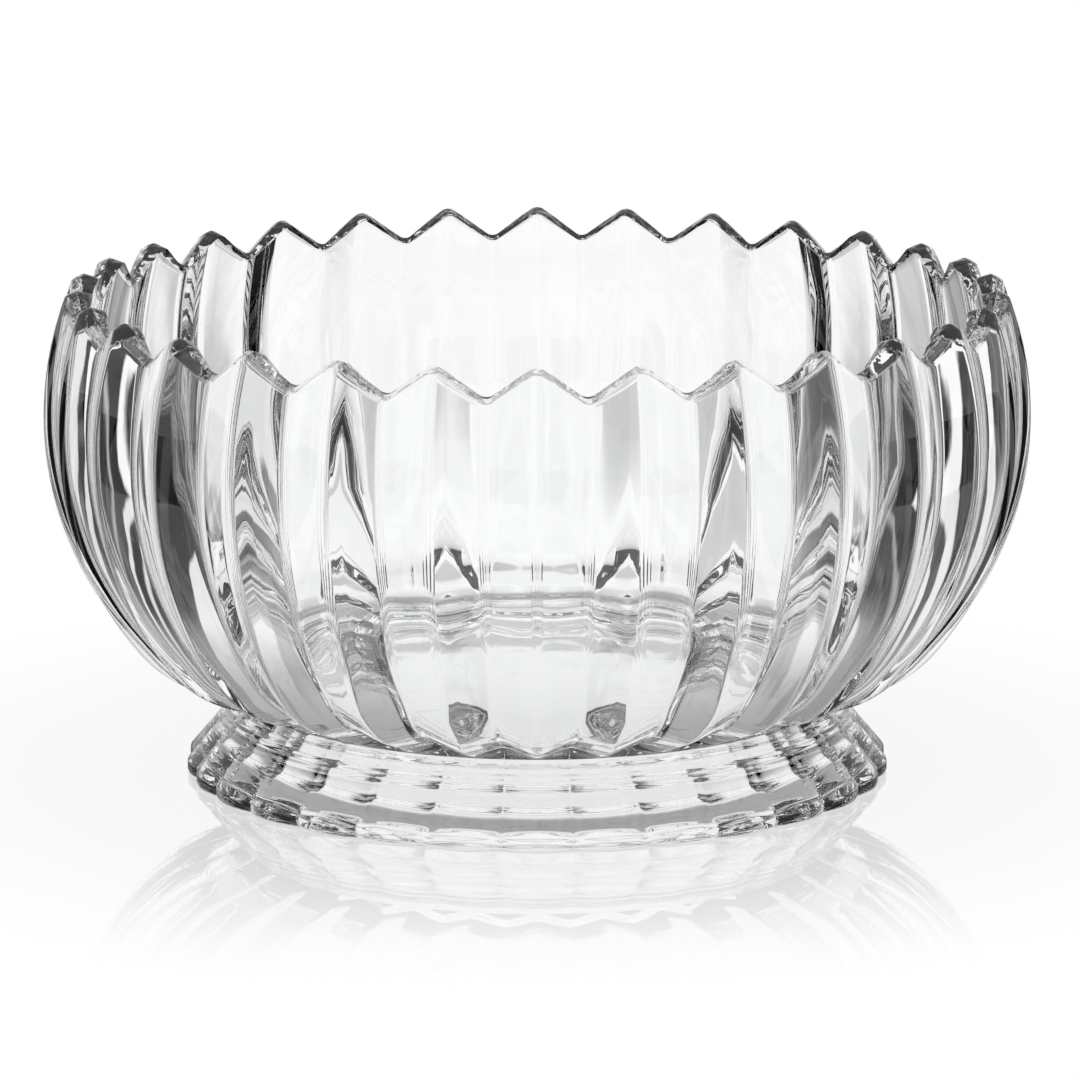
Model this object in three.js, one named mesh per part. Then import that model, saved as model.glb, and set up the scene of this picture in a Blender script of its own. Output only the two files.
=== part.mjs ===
// A footed punch bowl of clear pressed glass: a fluted bowl with a toothed rim, standing on a
// separate low ribbed foot ring.
// Millimetres, +Z up. The origin is the centre of the foot ring's resting face.
import * as THREE from 'three';
import { mergeVertices } from 'three/addons/utils/BufferGeometryUtils.js';

// ---- driving dimensions ----
const HEIGHT = 153;              // floor to the tips of the rim's teeth
const BELLY_RADIUS = 153;        // over the ridges, at the widest level
const BELLY_HEIGHT = 112.6;      // level of the widest girth
const FLUTES = 30;               // ridges round the bowl, teeth round the rim, ribs round the foot
const STEPS_PER_FLUTE = 4;       // columns of facets in one flute

const RIDGE_TO_GROOVE = 4.6;     // depth of a flute at the belly
const TOOTH_HEIGHT = 8.9;        // from the tip of a tooth to the bottom of the notch beside it
const WALL = 10.4;               // wall thickness over a ridge, at the belly
const LAND_WIDTH = 6.6;          // flat top of the rim, measured outwards from the inner edge
const LAND_TAPER = 3.6;          // how much narrower the land is over a groove than over a ridge
const LAND_DROP = 0.9;           // how much lower the land's inner edge lies
const RIM_CHAMFER = 1.6;         // drop from the land to the outside of the wall

const OUTER_SWEEP = 107;         // radius of the big arc of the outer outline
const OUTER_TURN = 40;           // degrees below level where the big arc ends
const OUTER_HEEL = 45;           // radius of the tighter arc under it
const SEAT_SLOPE = 20;           // slope of the underside where the bowl sits on the foot, degrees
const INNER_SWEEP_ABOVE = 146;   // radius of the inner outline above the belly
const INNER_SWEEP_BELOW = 95;    // and below it
const INNER_TURN = 50;           // degrees below level where the inner arc meets the floor's fillet
const FLOOR_HEIGHT = 31;         // inside floor of the bowl

const SEAT_INNER = 78;           // the bowl's base ring drops inside the foot at this radius
const BASE_HEIGHT = 17.2;        // level of the bowl's own base when it stands in the foot
const BASE_RECESS = 1.6;         // shallow dish under the base
const BASE_RING = 7;             // width of the base's resting ring

const FOOT_RADIUS = 109.8;       // over the ribs, at the bottom band
const FOOT_BAND = 3.4;           // height of the band at the bottom of the foot
const FOOT_EASE = 0.8;           // small bevel under the band
const RIB_DEPTH = 1.7;           // how far a rib bulges past the groove beside it
const FOOT_TOP_RADIUS = 92.4;    // where the flared side reaches the bowl
const FOOT_WALL = 11;            // width of the foot's resting face
const FIT_GAP = 0.3;             // clearance between the bowl and the foot
const RIB_SHARE_AT_TOP = 0.45;   // ribs grow shallower towards the top of the foot

const COLUMNS = FLUTES * STEPS_PER_FLUTE;
const rad = THREE.MathUtils.degToRad;

// ---- outlines ----

// Points on an arc of the outline; angles in degrees, 0 pointing outwards, -90 pointing down.
function arc(centre, radius, from, to, steps) {
  const points = [];
  for (let i = 0; i <= steps; i += 1) {
    const angle = rad(from + ((to - from) * i) / steps);
    points.push(new THREE.Vector2(centre.x + radius * Math.cos(angle), centre.y + radius * Math.sin(angle)));
  }
  return points;
}

// Centre of a smaller arc that carries on smoothly from the end of a bigger one.
function nestedCentre(centre, bigRadius, angle, smallRadius) {
  const reach = bigRadius - smallRadius;
  return new THREE.Vector2(centre.x + reach * Math.cos(rad(angle)), centre.y + reach * Math.sin(rad(angle)));
}

// Radius of an outline that bulges to widest at the belly, at a given height above it.
function sweptRadius(widest, sweep, height) {
  const rise = height - BELLY_HEIGHT;
  return widest - sweep + Math.sqrt(sweep * sweep - rise * rise);
}

const outerCentre = new THREE.Vector2(BELLY_RADIUS - OUTER_SWEEP, BELLY_HEIGHT);
const heelCentre = nestedCentre(outerCentre, OUTER_SWEEP, -OUTER_TURN, OUTER_HEEL);
const heelEnd = arc(heelCentre, OUTER_HEEL, SEAT_SLOPE - 90, SEAT_SLOPE - 90, 1)[0];
const innerWidest = BELLY_RADIUS - WALL;
const innerCentre = new THREE.Vector2(innerWidest - INNER_SWEEP_BELOW, BELLY_HEIGHT);
const innerEnd = arc(innerCentre, INNER_SWEEP_BELOW, -INNER_TURN, -INNER_TURN, 1)[0];
const filletRadius = (innerEnd.y - FLOOR_HEIGHT) / (1 - Math.sin(rad(INNER_TURN)));
const filletCentre = new THREE.Vector2(
  innerEnd.x - filletRadius * Math.cos(rad(INNER_TURN)), FLOOR_HEIGHT + filletRadius);

// Height of the bowl's underside over the seat, which the foot's seat follows.
function seatHeight(radius) {
  return heelEnd.y - (heelEnd.x - radius) * Math.tan(rad(SEAT_SLOPE));
}

// ---- turning an outline into a fluted solid ----

// 0 on a ridge, 1 in a groove. A flute has straight sides; a rib bulges.
function flute(column) {
  const phase = (column % STEPS_PER_FLUTE) / STEPS_PER_FLUTE;
  return 1 - Math.abs(2 * phase - 1);
}
function rib(column) {
  return flute(column) ** 2;
}

// Each station gives its radius and height for a share of groove from 0 to 1.
function turned(stations, shape) {
  const outline = stations.map((station) => new THREE.Vector2(...station(0)));
  let geometry = new THREE.LatheGeometry(outline, COLUMNS);
  const position = geometry.attributes.position;
  for (let column = 0; column <= COLUMNS; column += 1) {
    const turn = ((column % COLUMNS) / COLUMNS) * 2 * Math.PI;
    stations.forEach((station, row) => {
      const [radius, height] = station(shape(column));
      position.setXYZ(column * stations.length + row, radius * Math.sin(turn), height, radius * Math.cos(turn));
    });
  }
  geometry.rotateX(Math.PI / 2);
  geometry.deleteAttribute('normal');
  geometry.deleteAttribute('uv');
  geometry = mergeVertices(geometry, 1e-5);
  const index = [];
  for (let i = 0; i < geometry.index.count; i += 3) {
    const [a, b, c] = [0, 1, 2].map((k) => geometry.index.getX(i + k));
    if (a !== b && b !== c && c !== a) index.push(a, b, c);
  }
  geometry.setIndex(index);
  geometry.computeVertexNormals();
  return geometry;
}

// ---- bowl ----

function bowlStations() {
  const plain = (point) => () => [point.x, point.y];
  // Flutes grow shallower with the girth, so that every facet keeps its slope.
  const fluted = (point) => (groove) =>
    [point.x - (groove * RIDGE_TO_GROOVE * point.x) / BELLY_RADIUS, point.y];
  const outerAt = (height, groove) =>
    sweptRadius(BELLY_RADIUS, OUTER_SWEEP, height) - groove * RIDGE_TO_GROOVE;
  const innerAt = (height) => sweptRadius(innerWidest, INNER_SWEEP_ABOVE, height);
  const crest = (groove) => HEIGHT - TOOTH_HEIGHT * groove;

  const outside = [
    ...arc(outerCentre, OUTER_SWEEP, 9, -OUTER_TURN, 6),
    ...arc(heelCentre, OUTER_HEEL, -OUTER_TURN, SEAT_SLOPE - 90, 2).slice(1),
  ].reverse();
  const inside = [
    ...arc(innerCentre, INNER_SWEEP_BELOW, 0, -INNER_TURN, 5),
    ...arc(filletCentre, filletRadius, -INNER_TURN, -90, 2).slice(1),
  ];
  const seatOuter = SEAT_INNER + FIT_GAP;
  return [
    plain(new THREE.Vector2(0, BASE_HEIGHT + BASE_RECESS)),
    plain(new THREE.Vector2(SEAT_INNER - 2 * BASE_RING, BASE_HEIGHT + BASE_RECESS)),
    plain(new THREE.Vector2(SEAT_INNER - BASE_RING, BASE_HEIGHT)),
    plain(new THREE.Vector2(SEAT_INNER, BASE_HEIGHT)),
    plain(new THREE.Vector2(seatOuter, seatHeight(seatOuter))),
    plain(new THREE.Vector2(FOOT_TOP_RADIUS, seatHeight(FOOT_TOP_RADIUS))),
    ...outside.map(fluted),
    (groove) => [outerAt(crest(groove) - RIM_CHAMFER, groove), crest(groove) - RIM_CHAMFER],
    (groove) => [innerAt(crest(groove)) + LAND_WIDTH - groove * LAND_TAPER, crest(groove)],
    (groove) => [innerAt(crest(groove)), crest(groove) - LAND_DROP],
    ...inside.map(plain),
    plain(new THREE.Vector2(0, FLOOR_HEIGHT)),
  ];
}

// ---- foot ring ----

function standStations() {
  const seatBore = SEAT_INNER + 4 * FIT_GAP;
  const seatTop = (radius) => seatHeight(radius) - FIT_GAP;
  const ribbed = (radius, height, share) => (groove) => [radius - groove * RIB_DEPTH * share, height];
  const flare = (share) => (groove) => {
    const depth = RIB_DEPTH * THREE.MathUtils.lerp(1, RIB_SHARE_AT_TOP, share);
    const topRadius = FOOT_TOP_RADIUS - groove * RIB_DEPTH * RIB_SHARE_AT_TOP;
    return [
      THREE.MathUtils.lerp(FOOT_RADIUS, FOOT_TOP_RADIUS, share) - groove * depth,
      THREE.MathUtils.lerp(FOOT_BAND, seatTop(topRadius), share),
    ];
  };
  const outline = [
    ribbed(FOOT_RADIUS - FOOT_EASE - FOOT_WALL, 0, 0),
    ribbed(FOOT_RADIUS - FOOT_EASE, 0, 1),
    ribbed(FOOT_RADIUS, FOOT_EASE, 1),
    flare(0),
    flare(0.35),
    flare(0.7),
    flare(1),
    ribbed(seatBore, seatTop(seatBore), 0),
    ribbed(seatBore, BASE_HEIGHT - FIT_GAP, 0),
  ];
  return [...outline, outline[0]];
}

// ---- the model ----

function glass(name, geometry) {
  const material = new THREE.MeshStandardMaterial({
    color: 0xeef2f4, roughness: 0.04, metalness: 0, transparent: true, opacity: 0.35,
  });
  const mesh = new THREE.Mesh(geometry, material);
  mesh.name = name;
  return mesh;
}

const punchBowl = new THREE.Group();
punchBowl.add(glass('bowl', turned(bowlStations(), flute)));
punchBowl.add(glass('stand', turned(standStations(), rib)));

export default punchBowl;
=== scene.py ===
"""Punch bowl: a fluted glass bowl with a toothed rim, standing on a ribbed glass foot ring.

Metres, +Z up, origin at the centre of the foot's resting face, front towards -Y.
"""

import math

import bpy
from bpy.props import FloatProperty, FloatVectorProperty, IntProperty, PointerProperty
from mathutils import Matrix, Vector


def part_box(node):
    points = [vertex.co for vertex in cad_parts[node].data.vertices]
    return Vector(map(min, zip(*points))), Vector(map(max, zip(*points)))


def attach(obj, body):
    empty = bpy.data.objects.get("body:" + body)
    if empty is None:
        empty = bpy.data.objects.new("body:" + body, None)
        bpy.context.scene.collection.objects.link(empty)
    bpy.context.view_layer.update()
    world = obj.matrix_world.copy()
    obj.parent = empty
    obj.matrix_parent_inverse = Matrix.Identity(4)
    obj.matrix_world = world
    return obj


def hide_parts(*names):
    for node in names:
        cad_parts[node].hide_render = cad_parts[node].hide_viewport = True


bl_info = {
    "name": "Glass Punch Bowl",
    "version": (1, 0, 0),
    "blender": (4, 5, 0),
    "location": "3D View > Sidebar > Punch Bowl",
    "description": "Makes a fluted glass punch bowl on its foot ring, and a bright studio round it",
    "category": "Object",
}

MM = 0.001
WELD = 0.002 * MM

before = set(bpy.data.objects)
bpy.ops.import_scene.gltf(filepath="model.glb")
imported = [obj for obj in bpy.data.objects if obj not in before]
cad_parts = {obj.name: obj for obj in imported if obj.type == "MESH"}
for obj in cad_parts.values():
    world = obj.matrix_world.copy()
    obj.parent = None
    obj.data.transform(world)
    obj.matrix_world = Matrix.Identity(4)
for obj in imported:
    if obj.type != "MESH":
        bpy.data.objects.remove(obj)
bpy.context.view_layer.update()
BOWL_LOW, BOWL_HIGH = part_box("bowl")
STAND_LOW, STAND_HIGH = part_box("stand")


# ---------------------------------------------------------------- settings


class BowlSettings(bpy.types.PropertyGroup):
    """Sizes of the bowl that the frame doesn't fix."""

    flutes: IntProperty(
        name="Flutes", description="Ridges round the bowl and teeth round its rim", default=30, min=3
    )
    flute_depth: FloatProperty(
        name="Flute depth", description="From a ridge to the groove beside it, at the belly",
        default=4.8 * MM, subtype="DISTANCE", unit="LENGTH",
    )
    tooth_height: FloatProperty(
        name="Tooth height", description="From the tip of a tooth to the notch beside it",
        default=8.9 * MM, subtype="DISTANCE", unit="LENGTH",
    )
    wall: FloatProperty(
        name="Wall", description="Thickness over a ridge, at the belly",
        default=10.4 * MM, subtype="DISTANCE", unit="LENGTH",
    )
    floor_height: FloatProperty(
        name="Floor height", description="Level of the inside floor",
        default=31.0 * MM, subtype="DISTANCE", unit="LENGTH",
    )
    ripple_height: FloatProperty(
        name="Ripple height", description="How far the pressed surfaces wander",
        default=0.42 * MM, subtype="DISTANCE", unit="LENGTH",
    )
    ripple_length: FloatProperty(
        name="Ripple length", description="Distance between one ripple and the next",
        default=26.0 * MM, subtype="DISTANCE", unit="LENGTH",
    )


class StandSettings(bpy.types.PropertyGroup):
    """Sizes of the foot ring that the frame doesn't fix."""

    rib_depth: FloatProperty(
        name="Rib depth", description="How far a rib bulges past the groove beside it",
        default=1.7 * MM, subtype="DISTANCE", unit="LENGTH",
    )
    band_height: FloatProperty(
        name="Band height", description="Height of the upright band at the bottom",
        default=3.4 * MM, subtype="DISTANCE", unit="LENGTH",
    )
    wall: FloatProperty(
        name="Wall", description="Width of the face that the foot rests on",
        default=11.0 * MM, subtype="DISTANCE", unit="LENGTH",
    )
    ripple_height: FloatProperty(
        name="Ripple height", description="How far the foot's surfaces wander",
        default=0.28 * MM, subtype="DISTANCE", unit="LENGTH",
    )
    ripple_length: FloatProperty(
        name="Ripple length", description="Distance between one ripple and the next",
        default=11.0 * MM, subtype="DISTANCE", unit="LENGTH",
    )


class GlassSettings(bpy.types.PropertyGroup):
    """Finish of the glass."""

    tint: FloatVectorProperty(
        name="Tint", description="Colour of light that has gone through the glass",
        default=(0.985, 0.99, 0.99), subtype="COLOR", size=3, min=0.0, max=1.0,
    )
    refraction: FloatProperty(
        name="Refraction", description="Index of refraction of the glass", default=1.52, min=1.0, max=2.0
    )


class StudioSettings(bpy.types.PropertyGroup):
    """Camera, floor and light."""

    camera_distance: FloatProperty(
        name="Camera distance", description="From the bowl's axis, along the floor",
        default=1.955, subtype="DISTANCE", unit="LENGTH",
    )
    camera_height: FloatProperty(
        name="Camera height", description="Above the floor", default=0.4993,
        subtype="DISTANCE", unit="LENGTH",
    )
    aim_height: FloatProperty(
        name="Aim height", description="Where the camera's axis crosses the bowl's axis",
        default=0.0713, subtype="DISTANCE", unit="LENGTH",
    )
    lens: FloatProperty(
        name="Lens", description="Focal length of the camera, in millimetres", default=213.8
    )
    camera_shift: FloatProperty(
        name="Camera shift", description="Sideways shift of the frame, as a share of its width",
        default=0.0026,
    )
    floor_mirror: FloatProperty(
        name="Floor mirror", description="Share of the floor's light that is a reflection",
        default=0.36, min=0.0, max=1.0, subtype="FACTOR",
    )


# ---------------------------------------------------------------- outlines


def arc(centre, radius, start, end, steps):
    """Points on an arc in the (radius, height) plane; degrees, 0 outwards, -90 down."""
    turns = [math.radians(start + (end - start) * i / steps) for i in range(steps + 1)]
    return [Vector((centre[0] + radius * math.cos(t), centre[1] + radius * math.sin(t))) for t in turns]


def line(start, end, steps):
    """Points on a straight stretch, without its first point."""
    return [start.lerp(end, i / steps) for i in range(1, steps + 1)]


def rounded_wave(share, tip, valley):
    """A straight-sided wave from 0 to 1 as share goes from 0 to 1, rounded over tip and valley."""
    full = 1.0 - (tip + valley) / 2
    if share < tip:
        return share * share / (2 * tip) / full
    if share > 1.0 - valley:
        rest = 1.0 - share
        return 1.0 - rest * rest / (2 * valley) / full
    return (share - tip / 2) / full


def bulged_wave(share, valley):
    """A rib's section: a bulge that falls away from 0 to 1, rounded over the groove beside it."""
    edge = 1.0 - valley
    drop = edge * edge + edge * valley
    if share < edge:
        return share * share / drop
    rest = 1.0 - share
    return 1.0 - rest * rest * edge / valley / drop


def fading_rings(share, count):
    """A wave of some rings that fades out at both ends of a stretch."""
    return math.sin(math.pi * share) * math.sin(2 * math.pi * count * share)


class BowlOutline:
    """The bowl's outline, from its base to its rim and down the inside."""

    BELLY_HEIGHT = 112.6 * MM  # level of the widest girth
    OUTER_SWEEP = 107.0 * MM  # radius of the big arc outside
    OUTER_TURN = 40.0  # degrees below level where that arc ends
    OUTER_RISE = 10.0  # degrees above level where the teeth take over
    HEEL = 45.0 * MM  # radius of the tighter arc under it
    INNER_SWEEP_ABOVE = 146.0 * MM
    INNER_SWEEP_BELOW = 95.0 * MM
    INNER_TURN = 50.0  # degrees below level where the floor's fillet starts

    SEAT_SLOPE = 20.0  # degrees
    SEAT_INNER = 78.0 * MM
    SEAT_GAP = 0.3 * MM
    FLUTES_START = 84.0 * MM  # radius where the flutes begin to grow out of the seat
    FLUTES_FULL = 97.0 * MM
    BASE_RECESS = 1.6 * MM
    BASE_RING = 7.0 * MM
    BASE_EDGE = 0.5 * MM  # rounding at the foot of the base

    # rim, from outside in; shares are of half a tooth or half a flute
    SHOULDER_DROP = 1.9 * MM
    SHOULDER_WIDTH = 3.0 * MM
    SHOULDER_BULGE = 0.35  # from a straight bevel, 0, to a full rounding, 1
    SHOULDER_IN = 0.4 * MM  # the full rounding's corner, in from the wall
    SHOULDER_UP = 0.15 * MM  # and up from the crest
    LAND_DROP = 1.5 * MM
    RIM_EDGE = 0.5 * MM  # rounding of the inner edge
    TOOTH_TIP = 0.19
    TOOTH_NOTCH = 0.16
    RIDGE_ROUND = 0.15
    GROOVE_ROUND = 0.11

    WALL_RIPPLE = 0.5  # share of the ripple that the fluted side has
    RING_MARK = 0.06 * MM
    RING_MARK_LENGTH = 7.0 * MM
    STILL_FLOOR = 0.4  # share of the floor's radius that has no ring marks
    RIPPLE_SEED = 3.0

    def __init__(self, settings):
        self.s = settings
        self.belly = BOWL_HIGH.y
        self.top = BOWL_HIGH.z
        self.base = BOWL_LOW.z
        self.outer_centre = Vector((self.belly - self.OUTER_SWEEP, self.BELLY_HEIGHT))
        reach = self.OUTER_SWEEP - self.HEEL
        turn = math.radians(-self.OUTER_TURN)
        self.heel_centre = self.outer_centre + Vector((math.cos(turn), math.sin(turn))) * reach
        self.heel_end = arc(self.heel_centre, self.HEEL, self.SEAT_SLOPE - 90, self.SEAT_SLOPE - 90, 1)[0]
        self.inner_belly = self.belly - settings.wall

    def seat_height(self, radius):
        """Height of the underside over the seat."""
        return self.heel_end.y - (self.heel_end.x - radius) * math.tan(math.radians(self.SEAT_SLOPE))

    def swept(self, widest, sweep, height):
        """Radius of an outline that is widest at the belly."""
        rise = height - self.BELLY_HEIGHT
        return widest - sweep + math.sqrt(sweep * sweep - rise * rise)

    def stations(self):
        """Rows of the outline: a place for a share of groove and of notch, then ripple and texture shares."""
        s = self.s
        rows = []

        def plain(point, ripple=0.0):
            rows.append((lambda groove, notch, p=point: p, ripple, 0.0))

        def fluted(point, normal, depth_share):
            def place(groove, notch, p=point, n=normal, d=depth_share):
                return p - n * (groove * d * s.flute_depth)
            rows.append((place, self.WALL_RIPPLE, 0.0))

        def ring_mark(point, normal):
            fade = min(point.x / self.RING_MARK_LENGTH, 1.0)
            wave = math.sin(2 * math.pi * point.x / self.RING_MARK_LENGTH)
            plain(point + normal * (self.RING_MARK * wave * fade), 1.0)

        # base: dished middle, resting ring, upright side, seat
        ring_out = Vector((self.SEAT_INNER, self.base))
        ring_in = Vector((self.SEAT_INNER - self.BASE_RING, self.base))
        dish = Vector((self.SEAT_INNER - 2 * self.BASE_RING, self.base + self.BASE_RECESS))
        middle = Vector((0.0, self.base + self.BASE_RECESS))
        plain(middle)
        for point in line(middle, dish, 9):
            plain(point, 1.0)
        for point in line(dish, ring_in, 4):
            plain(point)
        edge = self.BASE_EDGE
        for point in line(ring_in, ring_out - Vector((edge, 0)), 3):
            plain(point)
        plain(ring_out + Vector((-0.3 * edge, 0.3 * edge)))
        seat_radius = self.SEAT_INNER + self.SEAT_GAP
        seat_start = Vector((seat_radius, self.seat_height(seat_radius)))
        for point in line(ring_out + Vector((0, edge)), seat_start, 3):
            plain(point)
        slope = math.radians(self.SEAT_SLOPE)
        seat_normal = Vector((math.sin(slope), -math.cos(slope)))
        for point in line(seat_start, self.heel_end, 10):
            share = (point.x - self.FLUTES_START) / (self.FLUTES_FULL - self.FLUTES_START)
            share = min(max(share, 0.0), 1.0)
            fluted(point, seat_normal, share * point.x / self.belly)
        # heel and belly
        for centre, radius, start, end, steps in (
            (self.heel_centre, self.HEEL, self.SEAT_SLOPE - 90, -self.OUTER_TURN, 9),
            (self.outer_centre, self.OUTER_SWEEP, -self.OUTER_TURN, self.OUTER_RISE, 26),
        ):
            for point in arc(centre, radius, start, end, steps)[1:]:
                fluted(point, (point - centre).normalized(), point.x / self.belly)
        self.rim(rows)
        # inside wall, fillet and floor
        inner_centre = Vector((self.inner_belly - self.INNER_SWEEP_BELOW, self.BELLY_HEIGHT))
        wall = arc(inner_centre, self.INNER_SWEEP_BELOW, 0.0, -self.INNER_TURN, 22)
        for point in wall:
            plain(point, 1.0)
        end = wall[-1]
        turn = math.radians(self.INNER_TURN)
        fillet = (end.y - s.floor_height) / (1 - math.sin(turn))
        fillet_centre = Vector((end.x - fillet * math.cos(turn), s.floor_height + fillet))
        floor_edge = Vector((fillet_centre.x, s.floor_height))
        for point in arc(fillet_centre, fillet, -self.INNER_TURN, -90.0, 22)[1:]:
            ring_mark(point, (fillet_centre - point).normalized())
        still = Vector((self.STILL_FLOOR * floor_edge.x, s.floor_height))
        for point in line(floor_edge, still, 20):
            ring_mark(point, Vector((0.0, 1.0)))
        for point in line(still, Vector((0.0, s.floor_height)), 4):
            plain(point, 1.0)
        return rows

    def rim(self, rows):
        """Rows that follow the teeth: the wall below them, the shoulder, the land and the inner edge."""
        s = self.s
        last_height = rows[-1][0](0.0, 0.0).y

        def crest(notch):
            return self.top - s.tooth_height * notch

        def outer(height, groove):
            return self.swept(self.belly, self.OUTER_SWEEP, height) - groove * s.flute_depth

        def inner(height):
            return self.swept(self.inner_belly, self.INNER_SWEEP_ABOVE, height)

        def follow_wall(share):
            def place(groove, notch):
                shoulder = crest(notch) - self.SHOULDER_DROP
                height = last_height + (shoulder - last_height) * share
                return Vector((outer(height, groove), height))
            rows.append((place, self.WALL_RIPPLE, 0.0))

        def land_end(groove, notch):
            height = crest(notch)
            return Vector((outer(height, groove) - self.SHOULDER_WIDTH, height))

        def shoulder(share):
            def place(groove, notch):
                height = crest(notch)
                low = height - self.SHOULDER_DROP
                start = Vector((outer(low, groove), low))
                end = land_end(groove, notch)
                corner = Vector((outer(height, groove) - self.SHOULDER_IN, height + self.SHOULDER_UP))
                corner = start.lerp(end, 0.5).lerp(corner, self.SHOULDER_BULGE)
                return start * (1 - share) ** 2 + corner * 2 * share * (1 - share) + end * share ** 2
            rows.append((place, 0.0, share))

        def land(share):
            def place(groove, notch):
                height = crest(notch)
                low = height - self.LAND_DROP + 0.2 * self.RIM_EDGE
                inner_edge = Vector((inner(height) + self.RIM_EDGE, low))
                return land_end(groove, notch).lerp(inner_edge, share)
            rows.append((place, 0.0, 1.0))

        def follow_inside(share, first_drop):
            def place(groove, notch):
                height = crest(notch) - self.LAND_DROP - first_drop
                height = height + (self.BELLY_HEIGHT - height) * share
                return Vector((inner(height), height))
            rows.append((place, 1.0 if share else 0.0, 0.0))

        for share in (0.25, 0.5, 0.75, 0.9, 1.0):
            follow_wall(share)
        for share in (0.15, 0.3, 0.45, 0.6, 0.75, 0.9, 1.0):
            shoulder(share)
        for share in (0.35, 0.7, 1.0):
            land(share)
        follow_inside(0.0, 0.3 * self.RIM_EDGE)
        for share in (0.0, 0.12, 0.28, 0.44, 0.6, 0.76, 0.9):
            follow_inside(share, 1.1 * self.RIM_EDGE)


class StandOutline:
    """The foot ring's outline: resting face, flared side, seat and bore."""

    EASE = 0.8 * MM  # small bevel under the band
    EASE_IN = 0.25 * MM  # its middle, in from the band
    EASE_UP = 0.3 * MM  # and up from the floor
    FACE_EDGE = 0.2 * MM  # where the resting face starts to turn up
    BAND_EDGE = 0.35 * MM  # rounding at the top of the band
    TOP_RADIUS = 92.4 * MM
    TOP_EDGE = 0.6 * MM  # rounding where the side meets the seat
    FLARE_END = 0.97  # share of the side where that rounding starts
    FIT_GAP = 0.3 * MM
    SHARE_AT_TOP = 0.45  # ribs grow shallower towards the top
    GROOVE_ROUND = 0.08
    RIPPLE = 0.5  # share of the ripple that every face has

    MARKS_FROM = 0.5  # share of the side where its ring marks start
    FLARE_MARK = 0.14 * MM
    SEAT_MARK = 0.09 * MM
    MARK_RINGS = 5
    BORE_EDGE = 0.4 * MM
    BORE_STEPS = 3
    STEP_DEPTH = 1.1 * MM
    BORE_RIB = 1.8 * MM
    RIPPLE_SEED = 7.0

    def __init__(self, settings, bowl):
        self.s = settings
        self.bowl = bowl
        self.radius = STAND_HIGH.y

    def stations(self):
        """Rows of the outline, as for the bowl; the last joins the first."""
        s = self.s
        rows = []
        bore = self.bowl.SEAT_INNER + 4 * self.FIT_GAP

        def seat_top(radius):
            return self.bowl.seat_height(radius) - self.FIT_GAP

        def ribbed(radius, height, share):
            def place(groove, notch, r=radius, h=height, d=share):
                return Vector((r - groove * d * s.rib_depth, h))
            rows.append((place, self.RIPPLE, 0.0))

        def bored(point, normal, share):
            def place(groove, notch, p=point, n=normal, d=share):
                return p + n * (groove * d * self.BORE_RIB)
            rows.append((place, self.RIPPLE, 0.0))

        def flare(share):
            def place(groove, notch):
                depth = s.rib_depth * (1 + (self.SHARE_AT_TOP - 1) * share)
                low = Vector((self.radius, s.band_height))
                top = self.TOP_RADIUS
                high = Vector((top, seat_top(top - groove * s.rib_depth * self.SHARE_AT_TOP)))
                along = high - low
                marked = max(share - self.MARKS_FROM, 0.0) / (1.0 - self.MARKS_FROM)
                mark = self.FLARE_MARK * fading_rings(marked, self.MARK_RINGS)
                point = low + along * share + Vector((along.y, -along.x)).normalized() * mark
                point.x -= groove * depth
                return point
            rows.append((place, self.RIPPLE, 0.0))

        inside_low = self.radius - self.EASE - s.wall
        ribbed(inside_low, 0.0, 0.0)
        for i in range(1, 5):
            ribbed(inside_low + (s.wall - self.FACE_EDGE) * i / 4, 0.0, i / 4)
        ribbed(self.radius - self.EASE_IN, self.EASE_UP, 1.0)
        ribbed(self.radius, self.EASE, 1.0)
        ribbed(self.radius, s.band_height * 0.6, 1.0)
        ribbed(self.radius, s.band_height - self.BAND_EDGE, 1.0)
        for share in (0.012, 0.1, 0.2, 0.3, 0.4):
            flare(share)
        rings = 30
        for i in range(rings + 1):
            flare(self.MARKS_FROM + (self.FLARE_END - self.MARKS_FROM) * i / rings)
        seat_out, seat_in = self.TOP_RADIUS - self.TOP_EDGE, bore + self.FIT_GAP
        for i in range(rings + 1):
            radius = seat_out + (seat_in - seat_out) * i / rings
            mark = self.SEAT_MARK * fading_rings(i / rings, self.MARK_RINGS)
            ribbed(radius, seat_top(radius) + mark, 0.0)
        ribbed(bore, seat_top(bore) - self.FIT_GAP, 0.0)
        bore_low = self.bowl.base - self.FIT_GAP
        ribbed(bore, bore_low + self.BORE_EDGE, 0.0)
        into_glass = Vector((bore_low, inside_low - bore)).normalized()
        steps = 36
        for i in range(1, steps):
            share = i / steps
            fade = math.sin(math.pi * share)
            wave = fade ** 0.5 * math.sin(2 * math.pi * self.BORE_STEPS * share)
            on_cone = Vector((bore + (inside_low - bore) * share, bore_low * (1 - share)))
            bored(on_cone + into_glass * (wave * self.STEP_DEPTH), into_glass, fade)
        rows.append(rows[0])
        return rows


# ---------------------------------------------------------------- nodes


def node(tree, kind, place, **values):
    """A node at a place in the tree, with its properties set."""
    made = tree.nodes.new(kind)
    made.location = place
    for key, value in values.items():
        setattr(made, key, value)
    return made


def maths(tree, place, operation, first, second):
    """A maths node on two values or sockets."""
    made = node(tree, "ShaderNodeMath", place, operation=operation)
    for i, value in enumerate((first, second)):
        if isinstance(value, bpy.types.NodeSocket):
            tree.links.new(value, made.inputs[i])
        else:
            made.inputs[i].default_value = value
    return made.outputs[0]


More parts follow.
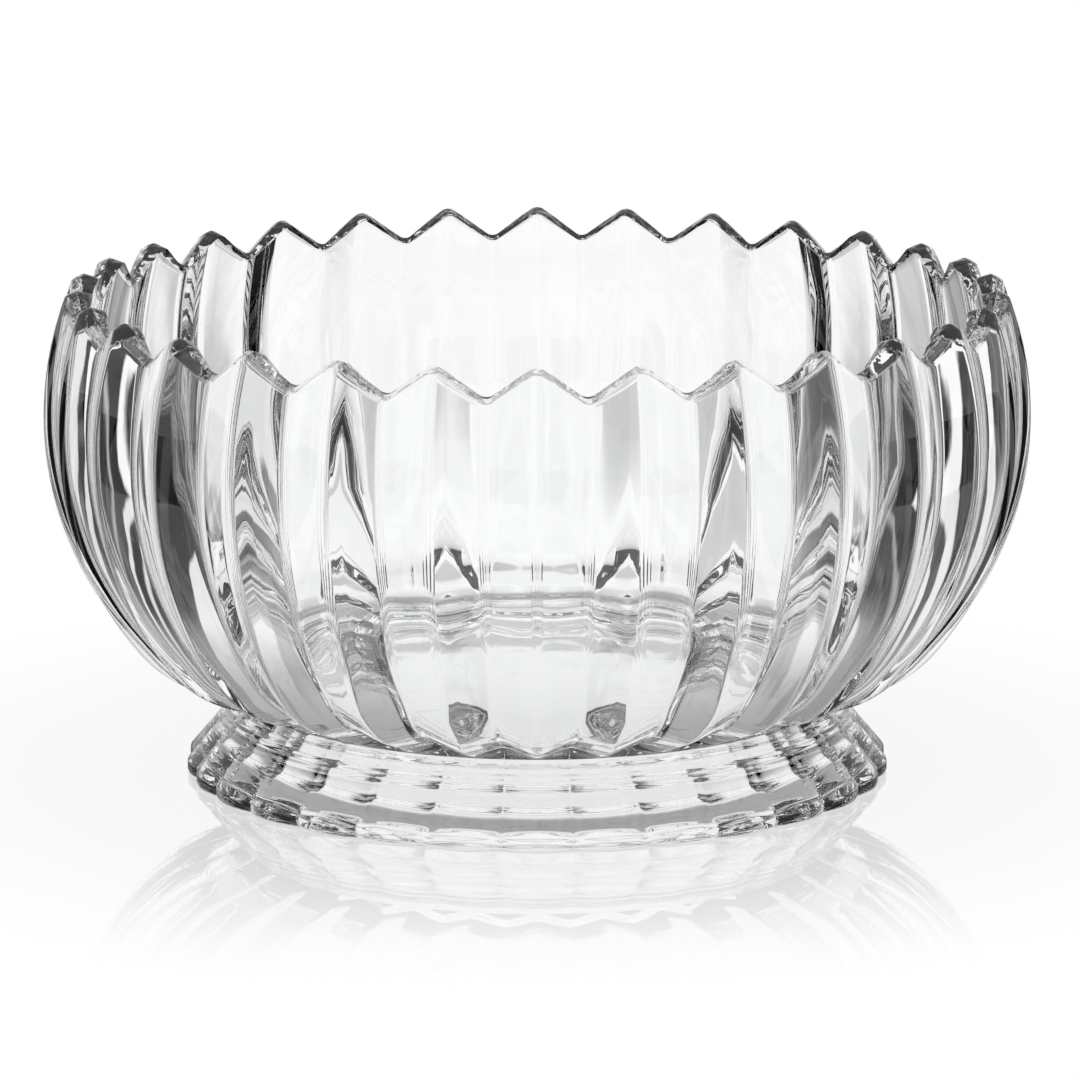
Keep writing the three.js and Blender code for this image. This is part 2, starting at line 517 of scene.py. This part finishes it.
def ramp(tree, place, edge, values, source):
    """A smooth step between two values as source goes from one end of the edge to the other."""
    made = node(tree, "ShaderNodeMapRange", place, interpolation_type="SMOOTHSTEP")
    made.inputs["From Min"].default_value, made.inputs["From Max"].default_value = edge
    made.inputs["To Min"].default_value, made.inputs["To Max"].default_value = values
    tree.links.new(source, made.inputs["Value"])
    return made.outputs[0]


# ---------------------------------------------------------------- meshes


def wave_columns():
    """Shares of half a flute, from ridge to groove, closer together at both ends, where it is round."""
    round_end, middle_steps = 0.12, 4
    ends = [round_end * i / 3 for i in range(4)]
    between = [round_end + (1 - 2 * round_end) * i / middle_steps for i in range(1, middle_steps)]
    return ends + between + [1 - e for e in reversed(ends)]


def flute_wedge(name, stations, flutes, section, notch_section):
    """One flute's slice of a turned solid, its ridge towards -Y, with each point's ripple and texture."""
    half = wave_columns()
    columns = [-share for share in reversed(half[1:])] + half
    half_angle = math.pi / flutes
    points, faces, ripples, textures, rings = [], [], [], [], []
    for place, ripple, texture in stations:
        ring = []
        on_axis = place(0.0, 0.0).x < WELD
        for column in [0.0] if on_axis else columns:
            point = place(section(abs(column)), notch_section(abs(column)))
            turn = column * half_angle
            ring.append(len(points))
            points.append((point.x * math.sin(turn), -point.x * math.cos(turn), point.y))
            ripples.append(0.0 if on_axis else ripple)
            textures.append(texture)
        rings.append(ring)
    for low, high in zip(rings, rings[1:]):
        for i in range(len(columns) - 1):
            a, b = (low[0], low[0]) if len(low) == 1 else (low[i], low[i + 1])
            c, d = (high[0], high[0]) if len(high) == 1 else (high[i + 1], high[i])
            faces.append(list(dict.fromkeys((a, b, c, d))))
    mesh = bpy.data.meshes.new(name)
    mesh.from_pydata(points, [], faces)
    for attribute, values in (("ripple", ripples), ("mould_texture", textures)):
        mesh.attributes.new(attribute, "FLOAT", "POINT").data.foreach_set("value", values)
    mesh.update()
    return mesh


def repeated_round(tree, start):
    """Copies of the wedge all round the axis, welded into one surface."""
    link = tree.links.new
    points = node(tree, "GeometryNodePoints", (-1150, 200))
    link(start.outputs["Count"], points.inputs["Count"])
    index = node(tree, "GeometryNodeInputIndex", (-1400, -300))
    step = maths(tree, (-1150, -200), "DIVIDE", 2 * math.pi, start.outputs["Count"])
    turn = node(tree, "ShaderNodeCombineXYZ", (-750, -200))
    link(maths(tree, (-950, -200), "MULTIPLY", index.outputs[0], step), turn.inputs["Z"])
    copies = node(tree, "GeometryNodeInstanceOnPoints", (-600, 100))
    link(points.outputs[0], copies.inputs["Points"])
    link(start.outputs["Geometry"], copies.inputs["Instance"])
    link(turn.outputs[0], copies.inputs["Rotation"])
    real = node(tree, "GeometryNodeRealizeInstances", (-400, 100))
    link(copies.outputs[0], real.inputs[0])
    weld = node(tree, "GeometryNodeMergeByDistance", (-200, 100))
    weld.inputs["Distance"].default_value = WELD
    link(real.outputs[0], weld.inputs["Geometry"])
    return weld.outputs[0]


def surface_wander(tree, start):
    """How each point moves along its normal: a soft noise, times the point's own share of ripple."""
    link = tree.links.new
    where = node(tree, "GeometryNodeInputPosition", (-600, -400))
    per_length = maths(tree, (-600, -550), "DIVIDE", 1.0, start.outputs["Ripple Length"])
    wander = node(tree, "ShaderNodeTexNoise", (-350, -400), noise_dimensions="4D")
    wander.inputs["Detail"].default_value = 2.0
    link(where.outputs[0], wander.inputs["Vector"])
    link(per_length, wander.inputs["Scale"])
    link(start.outputs["Seed"], wander.inputs["W"])
    centred = maths(tree, (-100, -400), "SUBTRACT", wander.outputs[0], 0.5)
    share = node(tree, "GeometryNodeInputNamedAttribute", (-350, -650), data_type="FLOAT")
    share.inputs["Name"].default_value = "ripple"
    height = maths(tree, (-100, -600), "MULTIPLY", share.outputs["Attribute"], start.outputs["Ripple Height"])
    amount = maths(tree, (100, -450), "MULTIPLY", centred, height)
    normal = node(tree, "GeometryNodeInputNormal", (100, -650))
    push = node(tree, "ShaderNodeVectorMath", (300, -450), operation="SCALE")
    link(normal.outputs[0], push.inputs[0])
    link(amount, push.inputs["Scale"])
    return push.outputs[0]


def round_repeat_tree():
    """Repeats a wedge round the axis, welds it, lets its surface wander and gives it its glass."""
    tree = bpy.data.node_groups.new("Repeat Flutes Round Axis", "GeometryNodeTree")
    face = tree.interface
    face.new_socket("Geometry", in_out="INPUT", socket_type="NodeSocketGeometry")
    face.new_socket("Count", in_out="INPUT", socket_type="NodeSocketInt")
    face.new_socket("Ripple Height", in_out="INPUT", socket_type="NodeSocketFloat")
    face.new_socket("Ripple Length", in_out="INPUT", socket_type="NodeSocketFloat")
    face.new_socket("Seed", in_out="INPUT", socket_type="NodeSocketFloat")
    face.new_socket("Material", in_out="INPUT", socket_type="NodeSocketMaterial")
    face.new_socket("Geometry", in_out="OUTPUT", socket_type="NodeSocketGeometry")
    start = node(tree, "NodeGroupInput", (-1400, 0))
    finish = node(tree, "NodeGroupOutput", (1200, 0))
    link = tree.links.new

    move = node(tree, "GeometryNodeSetPosition", (450, 100))
    link(repeated_round(tree, start), move.inputs["Geometry"])
    link(surface_wander(tree, start), move.inputs["Offset"])
    smooth = node(tree, "GeometryNodeSetShadeSmooth", (600, 100))
    link(move.outputs[0], smooth.inputs["Geometry"])
    whole = node(tree, "GeometryNodeRealizeInstances", (780, 100))
    link(smooth.outputs[0], whole.inputs[0])
    finish_glass = node(tree, "GeometryNodeSetMaterial", (960, 100))
    link(whole.outputs[0], finish_glass.inputs["Geometry"])
    link(start.outputs["Material"], finish_glass.inputs["Material"])
    link(finish_glass.outputs[0], finish.inputs[0])
    return tree


def set_input(modifier, name, value):
    """Sets a Geometry Nodes modifier's named input by its identifier."""
    for item in modifier.node_group.interface.items_tree:
        if item.item_type == "SOCKET" and item.in_out == "INPUT" and item.name == name:
            modifier[item.identifier] = value
            return
    raise RuntimeError(f"the tree has no input named {name}")


def turned_piece(name, wedge, count, ripple_height, ripple_length, seed, material):
    """The whole turned solid, as a plain mesh object at the origin."""
    seedling = bpy.data.objects.new(name + "_wedge", wedge)
    bpy.context.scene.collection.objects.link(seedling)
    tree = bpy.data.node_groups.get("Repeat Flutes Round Axis") or round_repeat_tree()
    modifier = seedling.modifiers.new("Repeat", "NODES")
    modifier.node_group = tree
    set_input(modifier, "Count", count)
    set_input(modifier, "Ripple Height", ripple_height)
    set_input(modifier, "Ripple Length", ripple_length)
    set_input(modifier, "Seed", seed)
    set_input(modifier, "Material", material)
    graph = bpy.context.evaluated_depsgraph_get()
    mesh = bpy.data.meshes.new_from_object(seedling.evaluated_get(graph), depsgraph=graph)
    bpy.data.objects.remove(seedling)
    mesh.name = name
    piece = bpy.data.objects.new(name, mesh)
    bpy.context.scene.collection.objects.link(piece)
    return piece


# ---------------------------------------------------------------- glass


DIMPLES_PER_METRE = 300.0
DIMPLE_DEPTH = 1.2 * MM


def clear_glass(settings):
    """Clear pressed glass, nearly colourless, with the fine dimples that a mould leaves on the rim."""
    material = bpy.data.materials.new("clear_pressed_glass")
    material.use_nodes = True
    tree = material.node_tree
    shader = tree.nodes["Principled BSDF"]
    shader.inputs["Base Color"].default_value = (*settings.tint, 1.0)
    shader.inputs["Transmission Weight"].default_value = 1.0
    shader.inputs["Roughness"].default_value = 0.0
    shader.inputs["IOR"].default_value = settings.refraction
    where = node(tree, "ShaderNodeTexCoord", (-1100, -200))
    dimples = node(tree, "ShaderNodeTexNoise", (-900, -200))
    dimples.inputs["Scale"].default_value = DIMPLES_PER_METRE
    dimples.inputs["Detail"].default_value = 1.0
    tree.links.new(where.outputs["Object"], dimples.inputs["Vector"])
    texture = node(tree, "ShaderNodeAttribute", (-900, -450), attribute_name="mould_texture")
    height = maths(tree, (-650, -300), "MULTIPLY", dimples.outputs[0], texture.outputs["Fac"])
    bump = node(tree, "ShaderNodeBump", (-400, -300))
    bump.inputs["Strength"].default_value = 1.0
    bump.inputs["Distance"].default_value = DIMPLE_DEPTH
    tree.links.new(height, bump.inputs["Height"])
    tree.links.new(bump.outputs[0], shader.inputs["Normal"])
    return material


# ---------------------------------------------------------------- studio


TABLE_REACH = 12.0
TABLE_LEVEL = -0.05 * MM
TABLE_LIGHT_LEVEL = -0.06 * MM
MIRROR_FADE = (0.11, 0.27)  # distances from the axis where the mirror image starts and ends to fade
MIRROR_ROUGHNESS = 0.012

# black cloths: (x, y) of the uprights that each hangs between
SIDE_CLOTH = ((0.42, -0.6), (0.40, 0.25), (0.85, 1.1))
SIDE_CLOTH_HEIGHT = 0.42
FRONT_CLOTH = ((-0.6, -0.75), (0.6, -0.75))
FRONT_CLOTH_HEIGHT = 0.50
STREAKS_PER_RADIAN = 5.0
STREAK_EDGE = (0.50, 0.555)  # noise values between which a streak turns from dark to light

# the open stretch of table before and behind the bowl: half its width, and shares of that
OPEN_HALF_WIDTH = 0.14
OPEN_WIDENING = 0.45  # growth of the half width with the distance along Y
SHEET_EDGE = (0.52, 0.60)
SHEET_LIGHT = 0.60  # light beyond the bright sheet in the middle
OPEN_EDGE = (0.7, 1.25)
SIDE_LIGHT = (0.06, 0.85)  # darkest and lightest streak beside the bowl

# light under and close round the bowl, by the distance from the axis
UNDER_EDGE = (0.078, 0.088)
UNDER_LIGHT = 0.85
SHADE_LIGHT = 0.35
SHADE_END = (0.10, 0.18)


def staged(name, points, faces, material, **seen_by):
    """A piece of the studio, which may be hidden from some kinds of ray."""
    mesh = bpy.data.meshes.new(name)
    mesh.from_pydata(points, [], faces)
    mesh.materials.append(material)
    piece = bpy.data.objects.new(name, mesh)
    bpy.context.scene.collection.objects.link(piece)
    for kind, seen in seen_by.items():
        setattr(piece, "visible_" + kind, seen)
    return piece


def upright(name, path, height, material):
    """A standing screen along a path of (x, y) points, out of the camera's own sight and of mirrors."""
    low = [(x, y, 0.0) for x, y in path]
    high = [(x, y, height) for x, y in path]
    count = len(path)
    faces = [(i, i + 1, count + i + 1, count + i) for i in range(count - 1)]
    return staged(name, low + high, faces, material, camera=False, glossy=False)


def flat(name, side, height, material, **seen_by):
    """A level square round the axis."""
    points = [(-side, -side, height), (side, -side, height), (side, side, height), (-side, side, height)]
    return staged(name, points, [(0, 1, 2, 3)], material, **seen_by)


def glow(tree, place, strength=1.0):
    """An emission shader of even white light."""
    made = node(tree, "ShaderNodeEmission", place)
    made.inputs["Strength"].default_value = strength
    return made


def new_material(name):
    """An empty node material and its output node."""
    material = bpy.data.materials.new(name)
    material.use_nodes = True
    material.node_tree.nodes.clear()
    return material, node(material.node_tree, "ShaderNodeOutputMaterial", (400, 0))


def bearing_streaks(tree, place, parts, dark, light):
    """A strength that changes between dark and light with the bearing from the bowl's axis."""
    across, down = place
    bearing = maths(tree, (across, down), "ARCTAN2", parts.outputs["X"], parts.outputs["Y"])
    streaks = node(tree, "ShaderNodeTexNoise", (across + 200, down), noise_dimensions="1D")
    streaks.inputs["Scale"].default_value = STREAKS_PER_RADIAN
    streaks.inputs["Detail"].default_value = 1.0
    tree.links.new(bearing, streaks.inputs["W"])
    return ramp(tree, (across + 400, down), STREAK_EDGE, (dark, light), streaks.outputs[0])


def black_cloth():
    """Black cloths, with gaps between that let some light by."""
    material, out = new_material("black_cloth")
    tree = material.node_tree
    where = node(tree, "ShaderNodeTexCoord", (-1100, 0))
    parts = node(tree, "ShaderNodeSeparateXYZ", (-900, 0))
    tree.links.new(where.outputs["Object"], parts.inputs[0])
    light = glow(tree, (0, 0))
    tree.links.new(bearing_streaks(tree, (-700, 0), parts, 0.0, 1.0), light.inputs["Strength"])
    tree.links.new(light.outputs[0], out.inputs["Surface"])
    return material


def table_top(settings):
    """A white glossy table top whose faint mirror image fades away from the bowl."""
    material, out = new_material("white_gloss_table")
    tree = material.node_tree
    where = node(tree, "ShaderNodeTexCoord", (-900, 0))
    reach = node(tree, "ShaderNodeVectorMath", (-700, 0), operation="LENGTH")
    tree.links.new(where.outputs["Object"], reach.inputs[0])
    share = ramp(tree, (-500, 0), MIRROR_FADE, (settings.floor_mirror, 0.0), reach.outputs["Value"])
    mirror = node(tree, "ShaderNodeBsdfAnisotropic", (-300, -100))
    mirror.inputs["Roughness"].default_value = MIRROR_ROUGHNESS
    mix = node(tree, "ShaderNodeMixShader", (0, 0))
    tree.links.new(share, mix.inputs[0])
    tree.links.new(glow(tree, (-300, 150)).outputs[0], mix.inputs[1])
    tree.links.new(mirror.outputs[0], mix.inputs[2])
    tree.links.new(mix.outputs[0], out.inputs["Surface"])
    return material


def table_light():
    """The table's light for the glass: open before and behind, streaked beside, shaded close to the bowl."""
    material, out = new_material("table_light")
    tree = material.node_tree
    where = node(tree, "ShaderNodeTexCoord", (-1500, 0))
    parts = node(tree, "ShaderNodeSeparateXYZ", (-1300, 0))
    tree.links.new(where.outputs["Object"], parts.inputs[0])
    across = maths(tree, (-1100, 100), "ABSOLUTE", parts.outputs["X"], 0.0)
    along = maths(tree, (-1100, -100), "ABSOLUTE", parts.outputs["Y"], 0.0)
    widening = maths(tree, (-700, -100), "MULTIPLY", along, OPEN_WIDENING)
    half_width = maths(tree, (-500, -100), "ADD", widening, OPEN_HALF_WIDTH)
    ratio = maths(tree, (-300, 0), "DIVIDE", across, half_width)
    sheet = ramp(tree, (-100, 150), SHEET_EDGE, (1.0, SHEET_LIGHT), ratio)
    fall = ramp(tree, (-100, 0), OPEN_EDGE, (1.0, 0.0), ratio)
    open_share = maths(tree, (50, 50), "MULTIPLY", sheet, fall)
    dim = bearing_streaks(tree, (-1100, 400), parts, *SIDE_LIGHT)
    rest = maths(tree, (-100, 300), "SUBTRACT", 1.0, dim)
    side = maths(tree, (250, 300), "ADD", dim, maths(tree, (100, 200), "MULTIPLY", open_share, rest))
    reach = node(tree, "ShaderNodeVectorMath", (-1100, -400), operation="LENGTH")
    tree.links.new(where.outputs["Object"], reach.inputs[0])
    under = ramp(tree, (-500, -400), UNDER_EDGE, (UNDER_LIGHT, SHADE_LIGHT), reach.outputs["Value"])
    beside = ramp(tree, (-500, -650), SHADE_END, (SHADE_LIGHT, 1.0), reach.outputs["Value"])
    near = maths(tree, (-250, -500), "MAXIMUM", under, beside)
    strength = maths(tree, (400, 0), "MULTIPLY", side, near)
    light = glow(tree, (600, 0))
    tree.links.new(strength, light.inputs["Strength"])
    tree.links.new(light.outputs[0], out.inputs["Surface"])
    return material


def make_table(settings):
    """The table that the camera sees, and the table's light that the glass sees."""
    flat("table", TABLE_REACH, TABLE_LEVEL, table_top(settings), transmission=False, glossy=False)
    flat("table_light", TABLE_REACH, TABLE_LIGHT_LEVEL, table_light(), camera=False)


def make_flags():
    """Black cloths beside and before the bowl, which draw the dark lines in the glass."""
    black = black_cloth()
    for name, side in (("flag_left", -1), ("flag_right", 1)):
        upright(name, [(side * x, y) for x, y in SIDE_CLOTH], SIDE_CLOTH_HEIGHT, black)
    upright("flag_front", FRONT_CLOTH, FRONT_CLOTH_HEIGHT, black)


def make_world():
    """An even white surround."""
    world = bpy.data.worlds.new("studio")
    bpy.context.scene.world = world
    world.use_nodes = True
    background = world.node_tree.nodes["Background"]
    background.inputs["Color"].default_value = (1.0, 1.0, 1.0, 1.0)
    background.inputs["Strength"].default_value = 1.0


def make_camera(settings):
    """The camera, on the front side, looking down on the rim."""
    data = bpy.data.cameras.new("camera")
    data.lens = settings.lens
    data.sensor_width = 36.0
    data.shift_x = settings.camera_shift
    data.clip_end = 50.0
    camera = bpy.data.objects.new("camera", data)
    bpy.context.scene.collection.objects.link(camera)
    camera.location = (0.0, -settings.camera_distance, settings.camera_height)
    drop = math.atan2(settings.camera_height - settings.aim_height, settings.camera_distance)
    camera.rotation_euler = (math.pi / 2 - drop, 0.0, 0.0)
    bpy.context.scene.camera = camera


# ---------------------------------------------------------------- operators


class PUNCHBOWL_OT_bowl(bpy.types.Operator):
    """Make the fluted glass bowl"""

    bl_idname = "punchbowl.bowl"
    bl_label = "Make Bowl"

    def execute(self, context):
        settings = context.scene.punch_bowl
        outline = BowlOutline(settings)

        def section(share):
            return rounded_wave(share, outline.RIDGE_ROUND, outline.GROOVE_ROUND)

        def notch(share):
            return rounded_wave(share, outline.TOOTH_TIP, outline.TOOTH_NOTCH)

        wedge = flute_wedge("bowl_glass_wedge", outline.stations(), settings.flutes, section, notch)
        piece = turned_piece("bowl_glass", wedge, settings.flutes, settings.ripple_height,
                             settings.ripple_length, outline.RIPPLE_SEED, shared_glass(context))
        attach(piece, "bowl")
        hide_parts("bowl")
        return {"FINISHED"}


class PUNCHBOWL_OT_stand(bpy.types.Operator):
    """Make the ribbed glass foot ring"""

    bl_idname = "punchbowl.stand"
    bl_label = "Make Foot Ring"

    def execute(self, context):
        bowl = context.scene.punch_bowl
        settings = context.scene.punch_bowl_stand
        outline = StandOutline(settings, BowlOutline(bowl))

        def section(share):
            return bulged_wave(share, outline.GROOVE_ROUND)

        wedge = flute_wedge("stand_glass_wedge", outline.stations(), bowl.flutes, section, section)
        piece = turned_piece("stand_glass", wedge, bowl.flutes, settings.ripple_height,
                             settings.ripple_length, outline.RIPPLE_SEED, shared_glass(context))
        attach(piece, "stand")
        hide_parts("stand")
        return {"FINISHED"}


class PUNCHBOWL_OT_stage(bpy.types.Operator):
    """Make the floor, the light and the camera"""

    bl_idname = "punchbowl.stage"
    bl_label = "Make Studio"

    def execute(self, context):
        settings = context.scene.punch_bowl_studio
        make_table(settings)
        make_flags()
        make_world()
        make_camera(settings)
        scene = context.scene
        scene.view_settings.view_transform = "Standard"
        scene.cycles.max_bounces = 32
        scene.cycles.transmission_bounces = 32
        scene.cycles.glossy_bounces = 5  # fewer mirror turns inside the glass leave its deep facets dark
        return {"FINISHED"}


def shared_glass(context):
    """The one glass that both pieces are made of."""
    found = bpy.data.materials.get("clear_pressed_glass")
    return found or clear_glass(context.scene.punch_bowl_glass)


class PUNCHBOWL_PT_panel(bpy.types.Panel):
    """Buttons and sizes for the punch bowl"""

    bl_label = "Punch Bowl"
    bl_idname = "PUNCHBOWL_PT_panel"
    bl_space_type = "VIEW_3D"
    bl_region_type = "UI"
    bl_category = "Punch Bowl"

    def draw(self, context):
        layout = self.layout
        for title, settings, operator in (
            ("Bowl", context.scene.punch_bowl, "punchbowl.bowl"),
            ("Foot ring", context.scene.punch_bowl_stand, "punchbowl.stand"),
            ("Glass", context.scene.punch_bowl_glass, None),
            ("Studio", context.scene.punch_bowl_studio, "punchbowl.stage"),
        ):
            box = layout.box()
            box.label(text=title)
            for name in settings.__annotations__:
                box.prop(settings, name)
            if operator:
                box.operator(operator)


CLASSES = (
    BowlSettings,
    StandSettings,
    GlassSettings,
    StudioSettings,
    PUNCHBOWL_OT_bowl,
    PUNCHBOWL_OT_stand,
    PUNCHBOWL_OT_stage,
    PUNCHBOWL_PT_panel,
)


def register():
    for cls in CLASSES:
        bpy.utils.register_class(cls)
    bpy.types.Scene.punch_bowl = PointerProperty(type=BowlSettings)
    bpy.types.Scene.punch_bowl_stand = PointerProperty(type=StandSettings)
    bpy.types.Scene.punch_bowl_glass = PointerProperty(type=GlassSettings)
    bpy.types.Scene.punch_bowl_studio = PointerProperty(type=StudioSettings)


def unregister():
    for name in ("punch_bowl", "punch_bowl_stand", "punch_bowl_glass", "punch_bowl_studio"):
        delattr(bpy.types.Scene, name)
    for cls in reversed(CLASSES):
        bpy.utils.unregister_class(cls)


def main():
    register()
    bpy.ops.punchbowl.bowl()
    bpy.ops.punchbowl.stand()
    bpy.ops.punchbowl.stage()


if __name__ == "__main__":
    main()
